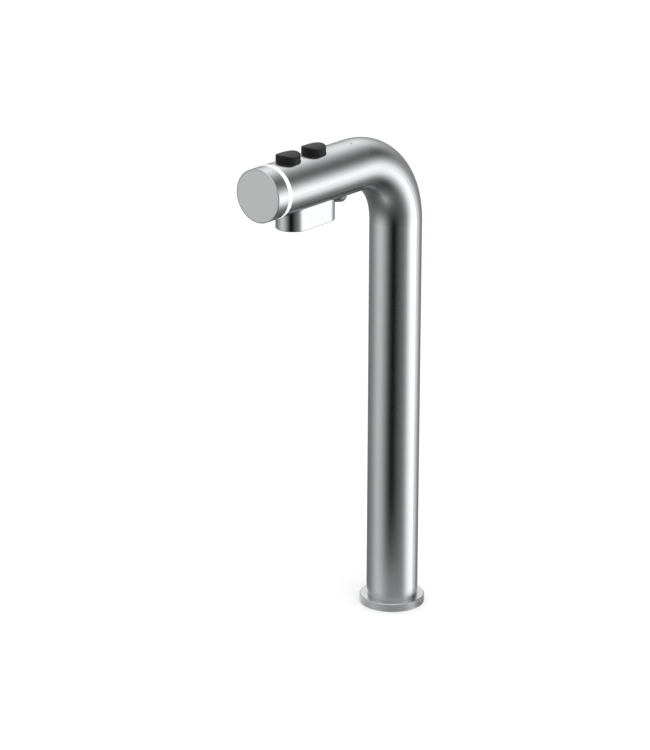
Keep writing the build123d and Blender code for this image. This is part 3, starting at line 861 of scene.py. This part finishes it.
class WATERTAP_OT_electronics(bpy.types.Operator):
    """Finishes the boards, lamps, switches and small screws inside the arm"""
    bl_idname = "watertap.electronics"
    bl_label = "Boards and switches"

    def execute(self, context):
        insides = context.scene.watertap_insides
        dress(moulded("button frame plastic", insides.grey_colour, roughness=0.5), "button_frame")

        def board(shade):
            track_scale = 900.0
            x, y, z = shade.apart(shade.place())
            over = shade.together(x * track_scale, (y + z) * track_scale, 0.0)
            tracks = shade.node("ShaderNodeTexBrick", {"offset": 0.35}, {
                "Vector": over, "Scale": 1.0, "Mortar Size": 0.06}, output="Fac")
            colour = insides.board_colour
            track_colour = (c * 1.8 + 0.02 for c in colour)
            return {
                "Base Color": shade.mix(tracks, opaque(colour), opaque(track_colour)),
                "Roughness": 0.3 - tracks * 0.08,
                "Normal": shade.bump(tracks, distance=0.00003),
                "Coat Weight": 0.4,
            }
        dress(new_material("circuit board", board), "light_board", "switch_board")

        def lamp(shade):
            gel = shade.noise(shade.place(), scale=900.0, detail=2.0)
            return {
                "Base Color": tinted(shade, (0.93, 0.86, 0.55), gel, amount=0.06),
                "Roughness": varied(0.3, (gel, 0.1)),
                "Emission Color": tinted(shade, (1.0, 0.98, 0.92), gel, amount=0.03),
                "Emission Strength": 0.8,
            }
        dress(new_material("small lamps", lamp), "ring_lamps")
        dress(moulded("black switch plastic", (0.04, 0.04, 0.042), roughness=0.4),
              "board_plug", "front_switch_body", "rear_switch_body")
        dress(moulded("switch plunger plastic", (0.62, 0.13, 0.07), roughness=0.42),
              "front_switch_plunger", "rear_switch_plunger")
        dress(plain_steel("small screw steel"), "carrier_screws", "board_screws")
        return {"FINISHED"}


def moulded(name, colour, roughness):
    """Moulded plastic with a fine eroded grain and faint flow marks."""
    def skin(shade):
        grain = shade.noise(shade.place(), scale=2600.0, detail=3.0, roughness=0.6)
        flow = shade.noise(shade.place(), scale=110.0, detail=3.0)
        return {
            "Base Color": tinted(shade, colour, flow, amount=0.06),
            "Roughness": varied(roughness, (grain, 0.14), (flow, 0.08)),
            "Normal": shade.bump(grain, distance=0.00001),
        }
    return new_material(name, skin)


def plain_steel(name, colour=(0.5, 0.5, 0.5), roughness=0.26):
    """Plain stainless steel of screws, washers and springs, scuffed a little."""
    def skin(shade):
        scuff = shade.noise(shade.place(), scale=900.0, detail=4.0, roughness=0.65)
        wide = shade.noise(shade.place(), scale=150.0, detail=2.0)
        return {
            "Base Color": tinted(shade, colour, wide, amount=0.08),
            "Metallic": 1.0,
            "Roughness": varied(roughness, (scuff, 0.16)),
            "Normal": shade.bump(scuff, distance=0.000004),
        }
    return new_material(name, skin)


class WATERTAP_PT_panel(bpy.types.Panel):
    """Lists the tap's pieces and their settings"""
    bl_idname = "WATERTAP_PT_panel"
    bl_label = "Water tap"
    bl_space_type = "VIEW_3D"
    bl_region_type = "UI"
    bl_category = "Water tap"

    def draw(self, context):
        for operator in OPERATORS:
            self.layout.operator(operator.bl_idname)
        for name in SETTINGS:
            box = self.layout.box()
            group = getattr(context.scene, name)
            for value in group.__annotations__:
                box.prop(group, value)


SETTINGS = {
    "watertap_camera": WaterTapCamera,
    "watertap_studio": WaterTapStudio,
    "watertap_steel": WaterTapSteel,
    "watertap_cap": WaterTapCap,
    "watertap_buttons": WaterTapButtons,
    "watertap_fixings": WaterTapFixings,
    "watertap_insides": WaterTapInsides,
}
OPERATORS = (
    WATERTAP_OT_stage,
    WATERTAP_OT_tube,
    WATERTAP_OT_flange,
    WATERTAP_OT_cap,
    WATERTAP_OT_light_ring,
    WATERTAP_OT_buttons,
    WATERTAP_OT_springs,
    WATERTAP_OT_nozzle,
    WATERTAP_OT_clamp,
    WATERTAP_OT_fixings,
    WATERTAP_OT_supply,
    WATERTAP_OT_electronics,
)
CLASSES = (*SETTINGS.values(), *OPERATORS, WATERTAP_PT_panel)


def register():
    for made in CLASSES:
        bpy.utils.register_class(made)
    for name, group in SETTINGS.items():
        setattr(bpy.types.Scene, name, PointerProperty(type=group))


def unregister():
    for name in SETTINGS:
        delattr(bpy.types.Scene, name)
    for made in reversed(CLASSES):
        bpy.utils.unregister_class(made)


def main():
    register()
    bpy.ops.watertap.stage()
    bpy.ops.watertap.tube()
    bpy.ops.watertap.flange()
    bpy.ops.watertap.cap()
    bpy.ops.watertap.light_ring()
    bpy.ops.watertap.buttons()
    bpy.ops.watertap.springs()
    bpy.ops.watertap.nozzle()
    bpy.ops.watertap.clamp()
    bpy.ops.watertap.fixings()
    bpy.ops.watertap.supply()
    bpy.ops.watertap.electronics()
    bpy.context.view_layer.update()


if __name__ == "__main__":
    main()
